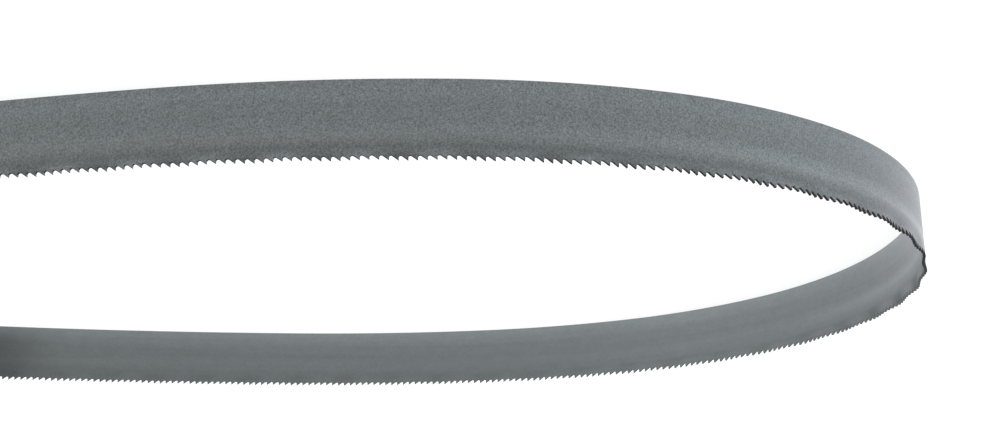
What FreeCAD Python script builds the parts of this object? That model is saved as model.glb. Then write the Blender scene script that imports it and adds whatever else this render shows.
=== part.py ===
import FreeCAD, Part
import math
import os

# Band saw blade: one strip of steel welded into a loop, standing on its back edge.
# The back edge is at z = 0 and the tooth tips are on top. The long axis of the loop
# is X, its broad end is at -X, and seen from above the teeth point clockwise.

# strip, in mm
band_width = 12.7
band_thickness = 0.5

# teeth, measured down from their tips
teeth_per_inch = 18.0
tooth_depth = 0.72
gullet_radius = 0.22
gullet_flats = 3

# wavy set: above its fold line the toothed edge swings out and in, once per group of teeth
teeth_in_wave = 8
set_amplitude = 0.27
set_height = 2.1
set_phase = 0.28

# one side of the loop as tangent arcs, from the middle of its broad end to its narrow end,
# which is an arc of its own; each run is rounded to whole waves of the set, and the last
# side arc and the narrow end take the bends that close the loop
side_runs = [56.0, 34.0, 34.0, 45.0, 79.0, 34.0]
side_radii = [70.1, 84.9, 125.2, 222.4, 543.7]
narrow_end_run = 124.0

tooth_pitch = 25.4 / teeth_per_inch
wave_length = teeth_in_wave * tooth_pitch
side_waves = [round(run / wave_length) for run in side_runs]
narrow_end_waves = round(narrow_end_run / wave_length)
half_waves = side_waves + [narrow_end_waves / 2]
half_thickness = band_thickness / 2
fold_z = band_width - set_height

# the strip is made a little too wide, so that the cutters leave nothing above the tips
spare = 0.4 * tooth_depth
blank_z = band_width + spare
blank_swing = set_amplitude * (set_height + spare) / set_height
cutter_z = blank_z + spare
cutter_reach = half_thickness + blank_swing + band_thickness

UP = FreeCAD.Vector(0, 0, 1)
SEW_GAP = 1e-4


def half_end(curvatures):
    """Distance from the long axis at which half of the loop ends when it has these bends."""
    heading, side = 0.0, 0.0
    for waves, k in zip(half_waves, curvatures):
        turned = k * waves * wave_length
        if abs(turned) < 1e-9:
            side += waves * wave_length * math.cos(heading)
        else:
            side += (math.sin(heading + turned) - math.sin(heading)) / k
        heading += turned
    return side


def bends():
    """Curvature of each arc, so that half of the loop turns by 180 degrees and ends on the axis."""
    given = [1.0 / r for r in side_radii]
    turned = sum(k * waves * wave_length for k, waves in zip(given, half_waves))

    def closed_by(k):
        left = math.pi - turned - k * half_waves[-2] * wave_length
        return given + [k, left / (half_waves[-1] * wave_length)]

    low, high = -max(given), max(given)
    low_is_past = half_end(closed_by(low)) < 0
    for _ in range(60):
        middle = (low + high) / 2
        if (half_end(closed_by(middle)) < 0) == low_is_past:
            low = middle
        else:
            high = middle
    return closed_by((low + high) / 2)


def ahead(k, s):
    return FreeCAD.Vector(math.cos(k * s), -math.sin(k * s), 0)


def outward(k, s):
    return FreeCAD.Vector(math.sin(k * s), math.cos(k * s), 0)


def spot(k, s, out, z):
    """Point at s along an arc of curvature k, which starts at the origin along X and bends to -Y."""
    middle = FreeCAD.Vector(s, 0, z)
    if abs(k * s) > 1e-9:
        middle = FreeCAD.Vector(math.sin(k * s) / k, (math.cos(k * s) - 1) / k, z)
    return middle + outward(k, s) * out


def swing(s):
    """How far the top edge of the blank is pushed outward at s."""
    return blank_swing * math.sin(2 * math.pi * (s / wave_length + set_phase))


def swing_slope(s):
    turn = 2 * math.pi / wave_length
    return blank_swing * turn * math.cos(turn * s + 2 * math.pi * set_phase)


def plain_edge(k, out, z):
    start, middle, end = [spot(k, s, out, z) for s in (0, wave_length / 2, wave_length)]
    if abs(k * wave_length) < 1e-6:
        return Part.makeLine(start, end)
    return Part.Arc(start, middle, end).toShape()


def wavy_edge(k, out):
    """Top edge of the blank on one face of the strip, swinging through one wave."""
    steps = 12
    stations = [wave_length * i / steps for i in range(steps + 1)]
    points = [spot(k, s, out + swing(s), blank_z) for s in stations]
    first, last = [ahead(k, s) * (1 + k * (out + swing(s))) + outward(k, s) * swing_slope(s)
                   for s in (0, wave_length)]
    curve = Part.BSplineCurve()
    curve.interpolate(Points=points, Parameters=stations, InitialTangent=first, FinalTangent=last)
    return curve.toShape()


def blank(k):
    """One wave of the strip before its teeth are cut."""
    faces, backs, tops = [], [], []
    for out in (half_thickness, -half_thickness):
        back, fold, top = plain_edge(k, out, 0), plain_edge(k, out, fold_z), wavy_edge(k, out)
        faces.append(back.extrude(UP * fold_z))
        faces.append(Part.makeRuledSurface(fold, top))
        backs.append(back)
        tops.append(top)
    for s in (0, wave_length):
        outer, inner = [[spot(k, s, side, 0), spot(k, s, side, fold_z), spot(k, s, side + swing(s), blank_z)]
                        for side in (half_thickness, -half_thickness)]
        faces.append(Part.Face(Part.makePolygon(outer + inner[::-1] + outer[:1])))
        backs.append(Part.makeLine(outer[0], inner[0]))
        tops.append(Part.makeLine(outer[2], inner[2]))
    for edges in (backs, tops):
        faces.append(Part.Face(Part.Wire(Part.__sortEdges__(edges))))
    return closed_solid(faces)


def closed_solid(faces):
    skin = Part.makeCompound(faces)
    skin.sewShape(SEW_GAP)
    solid = Part.makeSolid(skin.Shells[0])
    if solid.Volume < 0:
        solid.reverse()
    return solid


def gullet(k, s):
    """Cutter for the gullet centred at s, square to the strip there.

    Behind it is the straight face of one tooth, and ahead of it the back of the next
    tooth slopes up to the tip. A few flats stand for the round at its bottom.
    """
    r, centre, tip = gullet_radius, tooth_depth - gullet_radius, tooth_pitch - gullet_radius
    slope = math.atan2(centre, tip) + math.asin(r / math.hypot(tip, centre))
    outline = [(-r, cutter_z)]
    for i in range(gullet_flats + 1):
        a = math.pi - (math.pi / 2 + slope) * i / gullet_flats
        outline.append((r * math.cos(a), band_width - centre - r * math.sin(a)))
    outline.append((tip + (cutter_z - band_width) / math.tan(slope), cutter_z))
    corners = [spot(k, s, -cutter_reach, z) + ahead(k, s) * u for u, z in outline]
    return Part.Face(Part.makePolygon(corners + corners[:1])).extrude(outward(k, s) * 2 * cutter_reach)


def wave_skin(k):
    """Faces of one toothed wave, apart from the two ends that meet the next waves."""
    cutters = [gullet(k, i * tooth_pitch) for i in range(teeth_in_wave + 1)]
    toothed = blank(k).cut(cutters)

    def is_end(face, s):
        here = spot(k, s, 0, 0)
        return all(abs((v.Point - here).dot(ahead(k, s))) < SEW_GAP for v in face.Vertexes)

    return [face for face in toothed.Faces if not is_end(face, 0) and not is_end(face, wave_length)]


def loop():
    """All the waves end to end; the second side takes the first one's bends in reverse."""
    *side_bends, narrow_end_bend = bends()
    side = []
    for waves, k in zip(side_waves, side_bends):
        side += [k] * waves
    chain = side + [narrow_end_bend] * narrow_end_waves + side[::-1]
    skins = {k: wave_skin(k) for k in set(chain)}
    faces = []
    place = FreeCAD.Placement(FreeCAD.Vector(), FreeCAD.Rotation(UP, 90))
    for k in chain:
        faces += [face.transformed(place.toMatrix()) for face in skins[k]]
        turn = FreeCAD.Rotation(UP, -math.degrees(k * wave_length))
        place = place.multiply(FreeCAD.Placement(spot(k, wave_length, 0, 0), turn))
    return closed_solid(faces)


blade = loop()
box = blade.BoundBox
blade.translate(FreeCAD.Vector(-box.Center.x, -box.Center.y, 0))

os.makedirs("parts", exist_ok=True)
blade.exportStep("parts/blade.step")
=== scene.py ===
import math

import bpy
from mathutils import Matrix, Vector
from mathutils.geometry import tessellate_polygon


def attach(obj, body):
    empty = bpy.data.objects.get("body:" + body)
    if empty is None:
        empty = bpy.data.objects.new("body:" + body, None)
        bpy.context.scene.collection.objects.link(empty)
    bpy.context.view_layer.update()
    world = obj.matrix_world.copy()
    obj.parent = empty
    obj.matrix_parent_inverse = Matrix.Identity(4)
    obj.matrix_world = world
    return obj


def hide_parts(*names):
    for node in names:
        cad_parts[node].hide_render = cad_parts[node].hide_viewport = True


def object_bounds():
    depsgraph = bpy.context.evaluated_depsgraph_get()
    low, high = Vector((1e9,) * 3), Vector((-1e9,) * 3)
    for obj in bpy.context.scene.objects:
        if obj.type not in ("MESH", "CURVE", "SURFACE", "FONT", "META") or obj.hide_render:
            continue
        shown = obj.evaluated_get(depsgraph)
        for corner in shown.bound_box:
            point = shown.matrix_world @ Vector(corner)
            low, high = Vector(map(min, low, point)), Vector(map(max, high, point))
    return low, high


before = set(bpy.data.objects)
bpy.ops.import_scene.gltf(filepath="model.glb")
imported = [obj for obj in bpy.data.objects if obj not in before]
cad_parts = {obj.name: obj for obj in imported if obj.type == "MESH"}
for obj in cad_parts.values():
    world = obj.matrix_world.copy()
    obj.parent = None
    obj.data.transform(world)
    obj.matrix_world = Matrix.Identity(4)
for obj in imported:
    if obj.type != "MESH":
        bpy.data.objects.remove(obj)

# Band saw blade: one toothed strip of steel in a loop, standing on its back edge.
# All lengths are in metres. X is the loop's long axis, and its broad end is at -X.
# A run is counted along the strip from the middle of the broad end, and is above zero on
# the side that lies farther from the camera. A side is 1 outside the loop and -1 inside.

MM = 0.001
CAD_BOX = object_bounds()

# strip and teeth: the strip is a little thinner than the part's, and its gullets are rounder
BAND_WIDTH = 12.7 * MM
HALF_THICKNESS = 0.24 * MM
TOOTH_PITCH = 25.4 * MM / 18
TOOTH_DEPTH = 0.72 * MM
FACE_OFFSET = 0.22 * MM
GULLET_RADIUS = 0.29 * MM
BACK_ROUND = 0.09 * MM

# wavy set, with a soft fold
TEETH_IN_WAVE = 8
WAVE = TEETH_IN_WAVE * TOOTH_PITCH
SET_AMPLITUDE = 0.27 * MM
SET_HEIGHT = 2.1 * MM
SET_PHASE = 0.28
FOLD_SOFTNESS = 0.25 * MM

# one side of the loop from the middle of its broad end: whole waves and radii of its arcs
SIDE_WAVES = [5, 3, 3, 4, 7, 3]
SIDE_RADII = [70.1 * MM, 84.9 * MM, 125.2 * MM, 222.4 * MM, 543.7 * MM]
NARROW_END_WAVES = 11
WAVES = 2 * sum(SIDE_WAVES) + NARROW_END_WAVES
TEETH = WAVES * TEETH_IN_WAVE
LOOP_LENGTH = WAVES * WAVE

# fineness of the mesh: steps round a gullet and up the back of a tooth, the point of the gullet's
# outline where the straight face ends, columns in a tooth, heights of the rows below the gullets, and
# angles round the corner at the back edge, in degrees
ROUND_STEPS, SLOPE_STEPS = 7, 3
FACE_FOOT = 2
COLUMNS = 3
GULLET_FLOOR = BAND_WIDTH - TOOTH_DEPTH - 0.1 * MM
FOLD_ROWS = [11.35 * MM, 10.95 * MM, 10.6 * MM, 10.25 * MM, 9.8 * MM]
BODY_ROWS = [7.0 * MM, 3.5 * MM]
CORNER_ANGLES = [0, 30, 60, 90]

# faces that meet at a sharper turn than this keep a hard edge
SHARP_ANGLE = math.radians(32)

# material slots of the mesh
STRIP_FACE, GULLET_FACE, TOOTH_FACE = 0, 1, 2

# colours of the strip and of the cut faces of its teeth, which a tone scales. The cut faces' dark tint is
# painted shade, and their tones make a lit copy for the faces of the teeth and a shaded copy for the
# gullets
STEEL_TINT = (0.262, 0.292, 0.298)
CUT_SHADE_TINT = (0.057, 0.060, 0.061)
GULLET_SHADE_TONE, TOOTH_LIGHT_TONE = 0.45, 4.0

# tones across the strip, at shares of its width above the back edge; the lighter back edge is painted
# light, which also offsets the floor's shade there
OUTER_TONES = [(0.0, 0.65), (0.14, 0.64), (0.28, 0.55), (0.42, 0.52), (0.6, 0.54), (0.72, 0.487),
               (0.83, 0.40), (0.93, 0.455), (1.0, 0.37)]
INNER_TONES = [(0.0, 0.86), (0.14, 0.71), (0.28, 0.59), (0.46, 0.54), (0.6, 0.57), (0.72, 0.53),
               (0.84, 0.485), (0.93, 0.50)]

# painted light and shade on the inner face, lighter at the broad end and darker towards the narrow end,
# at shares of the way from the broad end to the narrow end
INNER_PAINTED_LIGHT = [(0.0, 1.24), (0.16, 1.23), (0.23, 1.22), (0.3, 1.10), (0.42, 1.02), (0.56, 0.94),
              (0.7, 0.90)]

# painted light on the outer face, lighter at the broad end
OUTER_PAINTED_LIGHT_START, OUTER_PAINTED_LIGHT_END = 80 * MM, 130 * MM
OUTER_PAINTED_LIGHTER, OUTER_PAINTED_DARKER = 1.045, 0.97

# noise in the tone: length of its cells along the strip, their width across it, and how strong it is
INNER_GRAIN = (0.25 * MM, 0.25 * MM, 0.28)
OUTER_GRAIN = (0.28 * MM, 0.28 * MM, 2.3)
INNER_MOTTLE = (2.5 * MM, 1.6 * MM, 0.22)
OUTER_MOTTLE = (2.5 * MM, 1.6 * MM, 0.24)
ROLLED = (60 * MM, 0.9 * MM, 0.14)
NOISE_DETAIL, NOISE_ROUGHNESS = 2.0, 0.7

# a painted highlight: a light streak along the strip at the broad end, where it fades, and how strong it
# is on each face
HIGHLIGHT_SHARE, HIGHLIGHT_SPREAD = 0.635, 0.19
INNER_HIGHLIGHT_START, INNER_HIGHLIGHT_END, INNER_HIGHLIGHT = 10 * MM, 60 * MM, 0.36
OUTER_HIGHLIGHT_START, OUTER_HIGHLIGHT_END, OUTER_HIGHLIGHT = 50 * MM, 130 * MM, 0.21

# coat of the strip, the streaks in it, and the stripe of the outer face that shines more at a slant
COAT = 0.5
ROLLED_COAT = (60 * MM, 0.9 * MM, 0.6)
SHINE, SHINE_SHARE, SHINE_SPREAD = 0.3, 0.7, 0.15

# a patch of painted shade inside the side that lies farther from the camera; it is weaker at the back
# edge
PAINTED_SHADE_START, PAINTED_SHADE_MIDDLE, PAINTED_SHADE_END, PAINTED_SHADE_DEPTH = 222 * MM, 244 * MM, 320 * MM, 0.5
PAINTED_SHADE_FULL_SHARE, PAINTED_SHADE_AT_BACK = 0.3, 0.4

# stretch of the broad end where the cut faces are lighter with painted light, and by how much
PAINTED_LIGHT_CUTS_START, PAINTED_LIGHT_CUTS_FULL = -16 * MM, -2 * MM
PAINTED_LIGHT_CUTS_FADE, PAINTED_LIGHT_CUTS_END = 50 * MM, 110 * MM
PAINTED_LIGHT_CUTS = 1.6

# painted light and shade along the toothed edge, where the set tilts the teeth out and in, a little ahead
# of its swing
SET_SHADING_LEAD, INNER_SET_SHADING, OUTER_SET_SHADING = 0.13, 0.08, 0.38

# gloss of the strip and of the cut faces
STEEL_GLOSS = {
    "Metallic": 0.85,
    "Roughness": 0.42,
    "Coat Roughness": 0.3,
    "Specular Tint": (0.9, 0.915, 0.98, 1),
}
CUT_GLOSS = {"Metallic": 0.2, "Roughness": 0.7, "Specular IOR Level": 0.2}

# floor and surroundings: white to the camera and in reflections, and plainer as lights
FLOOR_HALF_WIDTH = 4.0
FLOOR_GREY = (0.5, 0.5, 0.5, 1)
FLOOR_GLOW = 0.68
WHITE = (1, 1, 1, 1)
WORLD_LIGHT = 0.6

# area lamps: name, place, the point that it faces, its width and height, watts and colour
LAMPS = [
    ("overhead", (0.0, 0.1, 0.9), (0, 0, 0), (1.2, 0.9), 3, (1, 1, 1)),
    ("key", (-0.8, -0.15, 0.3), (-0.1, 0, 0), (0.6, 0.6), 3.6, (0.84, 0.92, 1)),
]

# camera, from the run of both edges in the photograph
FOCAL_PIXELS = 1586.4
CENTRE_COLUMN = 400
IMAGE_WIDTH = 1000
SENSOR_WIDTH = 36
NEAR_CLIP, FAR_CLIP = 0.01, 20
CAMERA_PLACE = (-0.06276, -0.29214, 0.09222)
CAMERA_HEADING = math.radians(4.934)
CAMERA_TILT = math.radians(17.965)
CAMERA_ROLL = math.radians(180.198)


def bends():
    """Curvature of each side arc and of the narrow end, which close the loop."""
    given = [1 / r for r in SIDE_RADII]
    lengths = [n * WAVE for n in SIDE_WAVES] + [NARROW_END_WAVES * WAVE / 2]
    turned = sum(k * run for k, run in zip(given, lengths))

    def closed_by(k):
        return given + [k, (math.pi - turned - k * lengths[-2]) / lengths[-1]]

    def end_side(curvatures):
        heading, side = 0.0, 0.0
        for run, k in zip(lengths, curvatures):
            if k:
                side += (math.sin(heading + k * run) - math.sin(heading)) / k
            else:
                side += run * math.cos(heading)
            heading += k * run
        return side

    low, high = -given[0], given[0]
    low_is_past = end_side(closed_by(low)) < 0
    for _ in range(60):
        middle = (low + high) / 2
        if (end_side(closed_by(middle)) < 0) == low_is_past:
            low = middle
        else:
            high = middle
    return closed_by((low + high) / 2)


class Path:
    """Centre line of the strip, run through clockwise from the middle of the broad end."""

    def __init__(self):
        *sides, narrow = bends()
        one_way = [(waves * WAVE, k) for waves, k in zip(SIDE_WAVES, sides)]
        self.arcs = []
        start, place, heading = 0.0, Vector((0, 0)), math.pi / 2
        for length, k in one_way + [(NARROW_END_WAVES * WAVE, narrow)] + one_way[::-1]:
            self.arcs.append((start, length, k, place, heading))
            place = self.along(k, place, heading, length)
            heading -= k * length
            start += length

    @staticmethod
    def along(k, place, heading, run):
        """Place after this run along an arc of curvature k."""
        ahead, side = math.sin(k * run) / k, (math.cos(k * run) - 1) / k
        c, s = math.cos(heading), math.sin(heading)
        return place + Vector((ahead * c - side * s, ahead * s + side * c))

    def at(self, s):
        """Place and outward direction at s."""
        s %= LOOP_LENGTH
        for start, length, k, place, heading in self.arcs:
            if s <= start + length:
                break
        run = s - start
        here, turned = self.along(k, place, heading, run), heading - k * run
        return here, Vector((-math.sin(turned), math.cos(turned)))


PATH = Path()


def swing(s, z):
    """Outward push of the set: none below the fold, full at the tips."""
    above = z - (BAND_WIDTH - SET_HEIGHT)
    lift = (above + math.sqrt(above * above + FOLD_SOFTNESS ** 2)) / 2
    return SET_AMPLITUDE * min(lift / SET_HEIGHT, 1) * math.sin(2 * math.pi * (s / WAVE + SET_PHASE))


def gullet_outline():
    """(run, depth) points from one tip down its straight face, round the gullet and up to the next."""
    r, middle, centre = GULLET_RADIUS, GULLET_RADIUS - FACE_OFFSET, TOOTH_DEPTH - GULLET_RADIUS
    tip = TOOTH_PITCH - FACE_OFFSET
    slope = math.atan2(centre, tip - middle) + math.asin(r / math.hypot(tip - middle, centre))
    points = [(-FACE_OFFSET, 0), (-FACE_OFFSET, centre / 2)]
    for i in range(ROUND_STEPS + 1):
        a = math.pi - (math.pi / 2 + slope) * i / ROUND_STEPS
        points.append((middle + r * math.cos(a), centre + r * math.sin(a)))
    run, depth = points[-1]
    for i in range(1, SLOPE_STEPS):
        t = i / SLOPE_STEPS
        points.append((run + (tip - run) * t, depth * (1 - t)))
    return points


OUTLINE = gullet_outline()


def row_heights():
    """Heights and insets of the rows from the gullets down to the rounded corner at the back edge."""
    rows = [(z, 0) for z in [GULLET_FLOOR] + FOLD_ROWS + BODY_ROWS]
    for angle in CORNER_ANGLES:
        a = math.radians(angle)
        rows.append((BACK_ROUND * (1 - math.sin(a)), BACK_ROUND * (1 - math.cos(a))))
    return rows


def band_mesh():
    """Points, faces and their slots, and each point's (run, side, height) on the strip."""
    rows = row_heights()
    verts, faces, slots, strip = [], [], [], []

    def add(s, z, side, inset=0.0):
        middle, out = PATH.at(s)
        tone_and_light_across = side * (HALF_THICKNESS - inset) + swing(s, z)
        verts.append((middle.x + out.x * tone_and_light_across, middle.y + out.y * tone_and_light_across, z))
        strip.append((s, side, z))
        return len(verts) - 1

    def add_face(points, slot):
        faces.append(points)
        slots.append(slot)

    grid, edge = {}, {}
    for side in (1, -1):
        grid[side] = [[add(-FACE_OFFSET + j * TOOTH_PITCH / COLUMNS, z, side, inset) for z, inset in rows]
                      for j in range(TEETH * COLUMNS)]
        edge[side] = [[add(i * TOOTH_PITCH + u, BAND_WIDTH - v, side) for u, v in OUTLINE]
                      for i in range(TEETH)]

    # a tooth's side is one flat outline, cut into triangles once and used for all teeth
    def tooth_ring(side, i):
        base = [grid[side][(i * COLUMNS + c) % len(grid[side])][0] for c in range(COLUMNS + 1)]
        rise = [edge[side][(i + 1) % TEETH][n] for n in range(FACE_FOOT, -1, -1)]
        return base + rise + edge[side][i][:FACE_FOOT - 1:-1]

    flat = [(c * TOOTH_PITCH / COLUMNS - FACE_OFFSET, GULLET_FLOOR) for c in range(COLUMNS + 1)]
    flat += [(TOOTH_PITCH + OUTLINE[n][0], BAND_WIDTH - OUTLINE[n][1]) for n in range(FACE_FOOT, -1, -1)]
    flat += [(u, BAND_WIDTH - v) for u, v in OUTLINE[:FACE_FOOT - 1:-1]]
    triangles = []
    for a, b, c in tessellate_polygon([[Vector((u, z, 0)) / MM for u, z in flat]]):
        (ua, za), (ub, zb), (uc, zc) = flat[a], flat[b], flat[c]
        turns_left = (ub - ua) * (zc - za) > (uc - ua) * (zb - za)
        triangles.append((a, b, c) if turns_left else (a, c, b))

    # corners go counter-clockwise as seen from inside the loop, so the outer side takes them in reverse
    for side in (1, -1):
        order = -side
        columns = grid[side]
        for j, column in enumerate(columns):
            after = columns[(j + 1) % len(columns)]
            for n in range(len(rows) - 1):
                add_face([column[n + 1], after[n + 1], after[n], column[n]][::order], STRIP_FACE)
        for i in range(TEETH):
            ring = tooth_ring(side, i)
            for corners in triangles:
                add_face([ring[c] for c in corners][::order], STRIP_FACE)

    for j in range(len(grid[1])):
        k = (j + 1) % len(grid[1])
        add_face([grid[-1][j][-1], grid[-1][k][-1], grid[1][k][-1], grid[1][j][-1]], STRIP_FACE)
    for i in range(TEETH):
        outer = edge[1][i] + [edge[1][(i + 1) % TEETH][0]]
        inner = edge[-1][i] + [edge[-1][(i + 1) % TEETH][0]]
        for n in range(len(OUTLINE)):
            slot = TOOTH_FACE if n < FACE_FOOT else GULLET_FACE
            add_face([outer[n], outer[n + 1], inner[n + 1], inner[n]], slot)
    return verts, faces, slots, strip


def make_band():
    verts, faces, slots, strip = band_mesh()
    mesh = bpy.data.meshes.new("band")
    mesh.from_pydata(verts, [], faces)
    mesh.polygons.foreach_set("material_index", slots)
    mesh.polygons.foreach_set("use_smooth", [True] * len(slots))
    places = mesh.attributes.new("strip", "FLOAT_VECTOR", "CORNER")
    corners = []

    # runs go from minus to plus half the loop, and a face over the middle of the narrow end counts on
    for polygon in mesh.polygons:
        runs = [(strip[v][0] + LOOP_LENGTH / 2) % LOOP_LENGTH - LOOP_LENGTH / 2 for v in polygon.vertices]
        over_join = max(runs) - min(runs) > LOOP_LENGTH / 2
        for v, run in zip(polygon.vertices, runs):
            if over_join and run < 0:
                run += LOOP_LENGTH
            corners += [run, strip[v][1], strip[v][2]]
    places.data.foreach_set("vector", corners)
    mesh.validate()
    mesh.update()
    mesh.set_sharp_from_angle(angle=SHARP_ANGLE)
    band = bpy.data.objects.new("band", mesh)
    bpy.context.collection.objects.link(band)

    # the middle of the loop goes to the middle of the part's box
    xs, ys = [v[0] for v in verts], [v[1] for v in verts]
    low, high = CAD_BOX
    shift_x = (low.x + high.x - min(xs) - max(xs)) / 2
    shift_y = (low.y + high.y - min(ys) - max(ys)) / 2
    mesh.transform(Matrix.Translation((shift_x, shift_y, 0)))
    return band


def join(tree, value, socket):
    if isinstance(value, bpy.types.NodeSocket):
        tree.links.new(value, socket)
    else:
        socket.default_value = value


def maths(tree, operation, *values):
    node = tree.nodes.new("ShaderNodeMath")
    node.operation = operation
    for value, socket in zip(values, node.inputs):
        join(tree, value, socket)
    return node.outputs[0]


def spread(tree, value, low, high, to_low, to_high):
    """A smooth step from to_low at low to to_high at high."""
    node = tree.nodes.new("ShaderNodeMapRange")
    node.interpolation_type = "SMOOTHSTEP"
    ends = {"Value": value, "From Min": low, "From Max": high, "To Min": to_low, "To Max": to_high}
    for name, end in ends.items():
        join(tree, end, node.inputs[name])
    return node.outputs[0]


def distance(tree, value, middle):
    return maths(tree, "ABSOLUTE", maths(tree, "SUBTRACT", value, middle))


def one_plus(tree, *amounts):
    product = amounts[0]
    for amount in amounts[1:]:
        product = maths(tree, "MULTIPLY", product, amount)
    return maths(tree, "ADD", product, 1.0)


def strip_place(tree):
    """Run along the strip, side and height."""
    strip = tree.nodes.new("ShaderNodeAttribute")
    strip.attribute_name = "strip"
    parts = tree.nodes.new("ShaderNodeSeparateXYZ")
    join(tree, strip.outputs["Vector"], parts.inputs[0])
    return parts.outputs


def ring_place(tree, run, side, height):
    """The strip laid round a circle as long as the loop, so that noise has no seam.

    The two faces lie apart in height, so that each has noise of its own.
    """
    radius = LOOP_LENGTH / (2 * math.pi)
    angle = maths(tree, "DIVIDE", run, radius)
    place = tree.nodes.new("ShaderNodeCombineXYZ")
    join(tree, maths(tree, "MULTIPLY", maths(tree, "COSINE", angle), radius), place.inputs[0])
    join(tree, maths(tree, "MULTIPLY", maths(tree, "SINE", angle), radius), place.inputs[1])
    join(tree, maths(tree, "MULTIPLY_ADD", side, 2 * BAND_WIDTH, height), place.inputs[2])
    return place.outputs[0]


def speckle(tree, place, along, tone_and_light_across, amount, detail=NOISE_DETAIL):
    """Noise round 1, with cells of this size along and across the strip."""
    scaled = tree.nodes.new("ShaderNodeVectorMath")
    scaled.operation = "MULTIPLY"
    join(tree, place, scaled.inputs[0])
    scaled.inputs[1].default_value = (1 / along, 1 / along, 1 / tone_and_light_across)
    noise = tree.nodes.new("ShaderNodeTexNoise")
    noise.inputs["Scale"].default_value = 1.0
    noise.inputs["Detail"].default_value = detail
    noise.inputs["Roughness"].default_value = NOISE_ROUGHNESS
    join(tree, scaled.outputs[0], noise.inputs["Vector"])
    centred = maths(tree, "SUBTRACT", noise.outputs["Fac"], 0.5)
    return maths(tree, "MULTIPLY_ADD", centred, amount, 1.0)


def profile(tree, share, tones):
    """Tone from (share, tone) pairs."""
    ramp = tree.nodes.new("ShaderNodeValToRGB")
    join(tree, share, ramp.inputs[0])
    points = ramp.color_ramp.elements
    while len(points) < len(tones):
        points.new(0.5)
    for point, (at, tone) in zip(points, tones):
        point.position, point.color = at, (tone, tone, tone, 1)
    return ramp.outputs[0]


def new_metal(name, gloss):
    """A material with this gloss; returns it with its node tree and its shader."""
    mat = bpy.data.materials.new(name)
    mat.use_nodes = True
    shader = mat.node_tree.nodes["Principled BSDF"]
    for socket, value in gloss.items():
        shader.inputs[socket].default_value = value
    return mat, mat.node_tree, shader


def paint(tree, shader, tint, tone):
    """Base colour of this tint, scaled by a tone that varies over the surface."""
    colour = tree.nodes.new("ShaderNodeVectorMath")
    colour.operation = "SCALE"
    colour.inputs[0].default_value = tint
    join(tree, tone, colour.inputs["Scale"])
    join(tree, colour.outputs[0], shader.inputs["Base Color"])


def blade_steel():
    """Satin strip with a fine blasted grain; it is smoother inside the loop."""
    mat, tree, shader = new_metal("blade_steel", STEEL_GLOSS)
    run, side, height = strip_place(tree)
    place = ring_place(tree, run, side, height)
    outer = spread(tree, side, -0.5, 0.5, 0.0, 1.0)
    share = maths(tree, "DIVIDE", height, BAND_WIDTH)
    from_broad_end = distance(tree, run, 0.0)

    def by_side(inner_value, outer_value):
        gap = maths(tree, "SUBTRACT", outer_value, inner_value)
        return maths(tree, "MULTIPLY_ADD", gap, outer, inner_value)

    # tones of the two faces, with painted light towards the back edge, and the noise in them
    tone_and_light_across = by_side(profile(tree, share, INNER_TONES), profile(tree, share, OUTER_TONES))
    inner_grain = speckle(tree, place, *INNER_GRAIN, detail=0.0)
    grain = by_side(inner_grain, speckle(tree, place, *OUTER_GRAIN))
    mottle = by_side(speckle(tree, place, *INNER_MOTTLE), speckle(tree, place, *OUTER_MOTTLE))
    rolled = speckle(tree, place, *ROLLED)

    # painted highlight along the strip
    highlight_across = spread(tree, distance(tree, share, HIGHLIGHT_SHARE), 0.0, HIGHLIGHT_SPREAD, 1.0, 0.0)
    inner_highlight = spread(tree, from_broad_end, INNER_HIGHLIGHT_START, INNER_HIGHLIGHT_END, INNER_HIGHLIGHT, 0.0)
    outer_highlight = spread(tree, from_broad_end, OUTER_HIGHLIGHT_START, OUTER_HIGHLIGHT_END, OUTER_HIGHLIGHT, 0.0)
    painted_highlight = one_plus(tree, highlight_across, by_side(inner_highlight, outer_highlight))

    # painted light and shade round the loop, with the patch of painted shade
    inner_painted_light = profile(tree, maths(tree, "DIVIDE", from_broad_end, LOOP_LENGTH / 2), INNER_PAINTED_LIGHT)
    # a patch of painted shade on the inner face of the farther side
    painted_shade = one_plus(tree, spread(tree, run, PAINTED_SHADE_START, PAINTED_SHADE_MIDDLE, 0.0, -PAINTED_SHADE_DEPTH),
                     spread(tree, run, PAINTED_SHADE_MIDDLE, PAINTED_SHADE_END, 1.0, 0.0),
                     spread(tree, share, 0.0, PAINTED_SHADE_FULL_SHARE, PAINTED_SHADE_AT_BACK, 1.0))
    outer_painted_light = spread(tree, from_broad_end, OUTER_PAINTED_LIGHT_START, OUTER_PAINTED_LIGHT_END,
                        OUTER_PAINTED_LIGHTER, OUTER_PAINTED_DARKER)
    painted_light_round_loop = by_side(maths(tree, "MULTIPLY", inner_painted_light, painted_shade), outer_painted_light)

    # painted light and shade of the set's tilt
    lift = spread(tree, height, BAND_WIDTH - SET_HEIGHT, BAND_WIDTH, 0.0, 1.0)
    turns = maths(tree, "MULTIPLY_ADD", run, 1 / WAVE, SET_PHASE + SET_SHADING_LEAD)
    wave = maths(tree, "SINE", maths(tree, "MULTIPLY", turns, 2 * math.pi))
    set_shading = one_plus(tree, lift, wave, by_side(INNER_SET_SHADING, OUTER_SET_SHADING))

    tone = tone_and_light_across
    for factor in (grain, mottle, rolled, painted_highlight, set_shading, painted_light_round_loop):
        tone = maths(tree, "MULTIPLY", tone, factor)
    paint(tree, shader, STEEL_TINT, tone)

    shine = spread(tree, distance(tree, share, SHINE_SHARE), 0.0, SHINE_SPREAD, SHINE, 0.0)
    coat = maths(tree, "MULTIPLY_ADD", shine, outer, COAT)
    coat = maths(tree, "MULTIPLY", coat, speckle(tree, place, *ROLLED_COAT))
    join(tree, coat, shader.inputs["Coat Weight"])
    return mat


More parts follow.
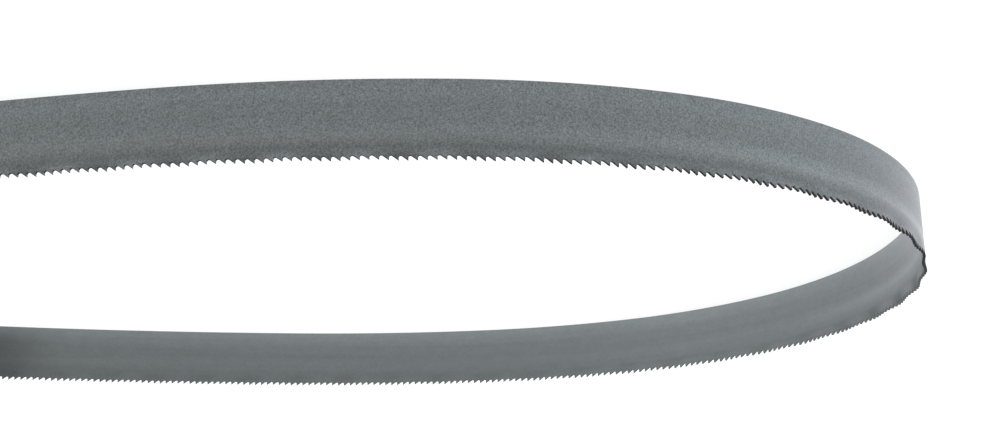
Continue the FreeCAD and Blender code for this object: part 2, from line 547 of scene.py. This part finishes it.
def cut_steel(name, tone):
    """Faces of the gullets and teeth, dark with painted shade, with painted light along one side of the
    broad end.
    """
    mat, tree, shader = new_metal(name, CUT_GLOSS)
    run = strip_place(tree)[0]
    # painted light on the cut faces along one side of the broad end
    rise = spread(tree, run, PAINTED_LIGHT_CUTS_START, PAINTED_LIGHT_CUTS_FULL, 0.0, PAINTED_LIGHT_CUTS)
    fade = spread(tree, run, PAINTED_LIGHT_CUTS_FADE, PAINTED_LIGHT_CUTS_END, 1.0, 0.0)
    paint(tree, shader, CUT_SHADE_TINT, maths(tree, "MULTIPLY_ADD", rise, fade, tone))
    return mat


def seen(tree):
    """1 for what the camera sees, itself or in a reflection, and 0 for light on the object."""
    path = tree.nodes.new("ShaderNodeLightPath")
    return maths(tree, "MAXIMUM", path.outputs["Is Camera Ray"], path.outputs["Is Glossy Ray"])


def floor_white():
    mat = bpy.data.materials.new("floor_white")
    mat.use_nodes = True
    tree = mat.node_tree
    tree.nodes.clear()
    diffuse = tree.nodes.new("ShaderNodeBsdfDiffuse")
    diffuse.inputs["Color"].default_value = FLOOR_GREY
    glow = tree.nodes.new("ShaderNodeEmission")
    join(tree, maths(tree, "MULTIPLY", seen(tree), FLOOR_GLOW), glow.inputs["Strength"])
    both = tree.nodes.new("ShaderNodeAddShader")
    join(tree, diffuse.outputs[0], both.inputs[0])
    join(tree, glow.outputs[0], both.inputs[1])
    out = tree.nodes.new("ShaderNodeOutputMaterial")
    join(tree, both.outputs[0], out.inputs["Surface"])
    return mat


def make_floor():
    half = FLOOR_HALF_WIDTH
    corners = [(-half, -half, 0), (half, -half, 0), (half, half, 0), (-half, half, 0)]
    mesh = bpy.data.meshes.new("floor")
    mesh.from_pydata(corners, [], [(0, 1, 2, 3)])
    floor = bpy.data.objects.new("floor", mesh)
    bpy.context.collection.objects.link(floor)
    mesh.materials.append(floor_white())


def make_world():
    world = bpy.data.worlds.new("studio")
    bpy.context.scene.world = world
    world.use_nodes = True
    tree = world.node_tree
    background = tree.nodes["Background"]
    background.inputs["Color"].default_value = WHITE
    strength = maths(tree, "MULTIPLY_ADD", seen(tree), 1 - WORLD_LIGHT, WORLD_LIGHT)
    join(tree, strength, background.inputs["Strength"])


def make_lamp(name, place, target, size, power, colour):
    light = bpy.data.lights.new(name, "AREA")
    light.color = colour
    light.shape = "RECTANGLE"
    light.size, light.size_y = size
    light.energy = power
    lamp = bpy.data.objects.new(name, light)
    lamp.location = place
    lamp.rotation_euler = (Vector(target) - Vector(place)).to_track_quat("-Z", "Y").to_euler()
    bpy.context.collection.objects.link(lamp)


def make_camera():
    data = bpy.data.cameras.new("camera")
    data.sensor_width = SENSOR_WIDTH
    data.lens = FOCAL_PIXELS / IMAGE_WIDTH * data.sensor_width
    data.shift_x = 0.5 - CENTRE_COLUMN / IMAGE_WIDTH
    data.clip_start, data.clip_end = NEAR_CLIP, FAR_CLIP
    camera = bpy.data.objects.new("camera", data)
    flat = math.cos(CAMERA_TILT)
    ahead_x, ahead_y = flat * math.sin(CAMERA_HEADING), flat * math.cos(CAMERA_HEADING)
    ahead = Vector((ahead_x, ahead_y, -math.sin(CAMERA_TILT)))
    turn = ahead.to_track_quat("-Z", "Y").to_matrix().to_4x4()
    roll = Matrix.Rotation(CAMERA_ROLL, 4, "Z")
    camera.matrix_world = Matrix.Translation(CAMERA_PLACE) @ turn @ roll
    bpy.context.collection.objects.link(camera)
    bpy.context.scene.camera = camera


bpy.context.scene.view_settings.view_transform = "Standard"
band = make_band()
band.data.materials.append(blade_steel())
# the gullets' cut faces carry painted shade, and the faces of the teeth carry painted light
band.data.materials.append(cut_steel("gullet_steel_shaded", GULLET_SHADE_TONE))
band.data.materials.append(cut_steel("face_steel_lit", TOOTH_LIGHT_TONE))
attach(band, "root")
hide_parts("blade")
make_floor()
make_world()
for lamp in LAMPS:
    make_lamp(*lamp)
make_camera()
